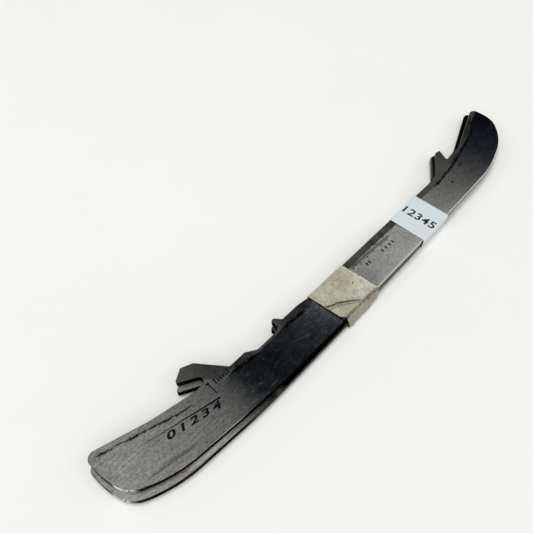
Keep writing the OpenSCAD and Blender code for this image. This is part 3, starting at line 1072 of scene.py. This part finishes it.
class SKATE_OT_label(bpy.types.Operator):
    """Fold the paper label round both runners and print its plain number"""

    bl_idname = "skate.label"
    bl_label = "Fold the label"

    def execute(self, context):
        look = context.scene.skate_label
        width = LABEL_HIGH.x - LABEL_LOW.x
        bm = grid(*LABEL_STEPS)
        wraps = {}
        for vert in bm.verts:
            column = round((vert.co.x + 0.5) * LABEL_STEPS[0])
            across = column / LABEL_STEPS[0]
            along = vert.co.y + 0.5
            x = LABEL_LOW.x + across * width
            if column not in wraps:
                under_ice, *rest = hull(x)
                inward = Vector((look.flap, 0))
                corners = [rest[0] - inward, *rest, under_ice, under_ice + inward]
                wraps[column] = Wrap(corners, LABEL_CORNER)
            s = along * wraps[column].total
            at, out = wraps[column].at(s)
            wave = noise.noise(Vector((x / MM * 0.12, s / MM * 0.12, 6.0)))
            loose = max(0.0, -out.x) * (1 - abs(out.y)) * 0.25 * MM
            off = LABEL_GAP + look.thick / 2 + (0.05 + 0.05 * wave) * MM * max(0.0, out.y) + loose
            vert.co = Vector((x, at.x + out.x * off, at.y + out.y * off))
        for face in bm.faces:
            face.smooth = True
        bmesh.ops.recalc_face_normals(bm, faces=bm.faces)
        label = piece_from(bm, "paper_label", [label_paper(look)], "stock_label")
        thicken(label, "paper", look.thick)

        digits = digits_mesh(look.digits, size=6.5 * MM, slant=0.0, spacing=1.06, weight=0.1 * MM,
                             thick=0.015 * MM)
        middle = DATUM + DIGITS_AT + Vector((0, 0, FACE_Z + look.thick + DIGITS_OFF))
        print_bm = bmesh.new()
        add_digits(print_bm, digits, middle, DIGITS_TURN, DIGITS_WIDE)
        close_up(print_bm)
        piece_from(print_bm, "label_digits", [label_ink(look)])
        return {"FINISHED"}


# The hood that the steel mirrors. HOOD says how bright it is by the angle in degrees from its axis, and
# HOOD_SIDE how bright its straight side over the toe is by how far the way there leans along +X. It
# fills a window in the even studio, given by the window's middle and the angles at its rim and inside
HOOD_WAY = (192, 68)
HOOD = [(0, 0.004), (46, 0.004), (47.5, 0.006), (50, 0.022), (53.5, 0.042), (58, 0.38), (63, 0.57),
        (66, 0.45), (70, 0.24), (72.8, 0.092), (74.9, 0.017), (77, 0.005), (90, 0.004)]
HOOD_SIDE = [(0, 0.46), (0.028, 0.46), (0.079, 0.44), (0.176, 0.3), (0.255, 0.19), (0.3, 0.016),
             (0.38, 0.006), (0.4, 0.004), (0.5, 0.004)]
WINDOW_WAY = (45, 52)
WINDOW = (55, 40)
# Its tint where it is bright, where it is dark, and past BLUE_FROM where it is bluer still
HOOD_PALE = (1.0, 1.0, 0.955)
HOOD_DARK = (0.62, 1.0, 1.3)
HOOD_BLUE = (0.62, 0.92, 1.8)
PALE_FROM = (0.012, 0.12)
BLUE_FROM = (71.5, 77)
KEY_WAY = (95, 80)
KEY_AWAY = 2.0
KEY_SIZE = 0.9
FLOOR_HALF = 4


def heading(around, height):
    """The way that a heading and a height in degrees point."""
    a = math.radians(around)
    h = math.radians(height)
    return Vector((math.cos(h) * math.cos(a), math.cos(h) * math.sin(a), math.sin(h)))


def toward(way, target):
    """The cosine of the angle between a way and a target heading."""
    return way.node("ShaderNodeVectorMath", {"operation": "DOT_PRODUCT"}, {0: way, 1: heading(*target)},
                    out="Value")


class SKATE_OT_stage(bpy.types.Operator):
    """Lay the pale floor, hang the soft lights and set the camera"""

    bl_idname = "skate.stage"
    bl_label = "Set the stage"

    def execute(self, context):
        scene = context.scene
        look = scene.skate_stage
        scene.view_settings.view_transform = "Standard"

        lens = bpy.data.cameras.new("camera")
        lens.sensor_width = SENSOR
        lens.lens = CAMERA_LENS
        lens.clip_start = CAMERA_NEAR
        camera = add_object("camera", lens)
        camera.location = CAMERA_AT
        camera.rotation_euler = (CAMERA_TILT, 0, CAMERA_HEADING)
        scene.camera = camera

        material, shader, start = new_material("pale_floor")
        at = start.node("ShaderNodeTexCoord", out="Object")
        cloud = blotch(at, 9.0, 3.0, 0.5)
        feed(shader, Base_Color=mix(cloud, look.floor, [c * 0.965 for c in look.floor]), Roughness=0.6)
        floor = object_from(grid(1, 1, FLOOR_HALF), "floor", [material])

        lamp = bpy.data.lights.new("key", "AREA")
        lamp.shape = "DISK"
        lamp.size = KEY_SIZE
        lamp.energy = look.key
        key = add_object("key", lamp)
        key.visible_glossy = False
        key.location = heading(*KEY_WAY) * KEY_AWAY
        key.rotation_euler = (-key.location).to_track_quat("-Z", "Y").to_euler()

        world = bpy.data.worlds.new("studio")
        scene.world = world
        world.use_nodes = True
        start = Shade(world.node_tree)
        way = start.node("ShaderNodeTexCoord", out="Generated")
        turned = toward(way, HOOD_WAY)
        angle = turned.math("ARCCOSINE", turned) * math.degrees(1)
        along, _, up = split(way)
        level = either(table_curve(angle, HOOD), table_curve(along / up, HOOD_SIDE))
        dark = mix(ease(angle, *BLUE_FROM), HOOD_DARK, HOOD_BLUE)
        hood = mix(level, BLACK, mix(ease(level, *PALE_FROM), dark, HOOD_PALE))
        window = ease(toward(way, WINDOW_WAY), *[math.cos(math.radians(a)) for a in WINDOW])
        sky = mix(window, look.sky, hood)
        feed(world.node_tree.nodes["Background"], Color=sky, Strength=1.0)
        return {"FINISHED"}


class SKATE_PT_panel(bpy.types.Panel):
    """Lists the pieces of the taped runners."""

    bl_label = "Taped runners"
    bl_idname = "SKATE_PT_panel"
    bl_space_type = "VIEW_3D"
    bl_region_type = "UI"
    bl_category = "Runners"

    def draw(self, context):
        for group, _, operator in PIECES:
            box = self.layout.box()
            box.operator(operator.bl_idname)
            look = getattr(context.scene, group)
            for name in look.__annotations__:
                box.prop(look, name)


# Where each group of settings is kept on the scene, its class and the operator that builds from it
PIECES = [
    ("skate_stage", StageLook, SKATE_OT_stage),
    ("skate_runner", RunnerLook, SKATE_OT_runners),
    ("skate_mark", MarkLook, SKATE_OT_marks),
    ("skate_tape", TapeLook, SKATE_OT_tape),
    ("skate_label", LabelLook, SKATE_OT_label),
]
CLASSES = [item for _, *pair in PIECES for item in pair] + [SKATE_PT_panel]


def register():
    for item in CLASSES:
        bpy.utils.register_class(item)
    for name, look, _ in PIECES:
        setattr(bpy.types.Scene, name, PointerProperty(type=look))


def unregister():
    for name, _, _ in PIECES:
        delattr(bpy.types.Scene, name)
    for item in reversed(CLASSES):
        bpy.utils.unregister_class(item)


def main():
    register()
    bpy.ops.skate.stage()
    bpy.ops.skate.runners()
    bpy.ops.skate.marks()
    bpy.ops.skate.tape()
    bpy.ops.skate.label()


if __name__ == "__main__":
    main()
